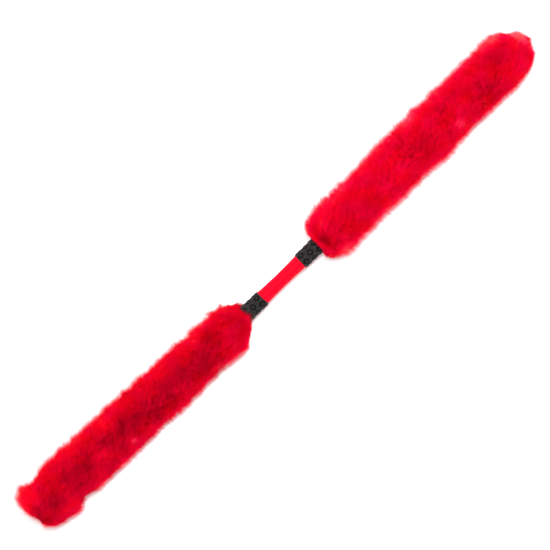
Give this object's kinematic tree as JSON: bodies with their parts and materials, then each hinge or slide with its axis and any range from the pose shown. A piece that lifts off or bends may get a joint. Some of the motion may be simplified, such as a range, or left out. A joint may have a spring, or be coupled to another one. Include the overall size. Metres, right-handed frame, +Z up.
{
  "type": "devil stick",
  "caption": "Straight juggling stick with a narrow sleeved waist between black tape bands and a round, padded, long-pile fur cover over each half.",
  "frame": {"origin": "middle of the stick, on the plane where the undersides of the two fur piles rest", "axes": "+X along the stick, +Z up from the surface it lies on, +Y across it"},
  "size_m": [0.693, 0.059, 0.0546],
  "materials": {
    "core_wood": "satin turned hardwood",
    "grip_silicone": "gloss silicone",
    "band_tape": "satin embossed tape",
    "foam": "matte closed-cell foam",
    "cap_rubber": "matte rubber",
    "backing_knit": "matte knitted cloth",
    "fur_pile": "matte long-pile faux fur"
  },
  "bodies": {
    "root": {"core_rod": "core_wood", "grip_sleeve": "grip_silicone", "left_grip_band": "band_tape", "right_grip_band": "band_tape", "left_foam_wrap": "foam", "right_foam_wrap": "foam", "left_end_cap": "cap_rubber", "right_end_cap": "cap_rubber", "left_fur_backing": "backing_knit", "right_fur_backing": "backing_knit", "left_fur_pile": "fur_pile", "right_fur_pile": "fur_pile"}
  },
  "joints": []
}
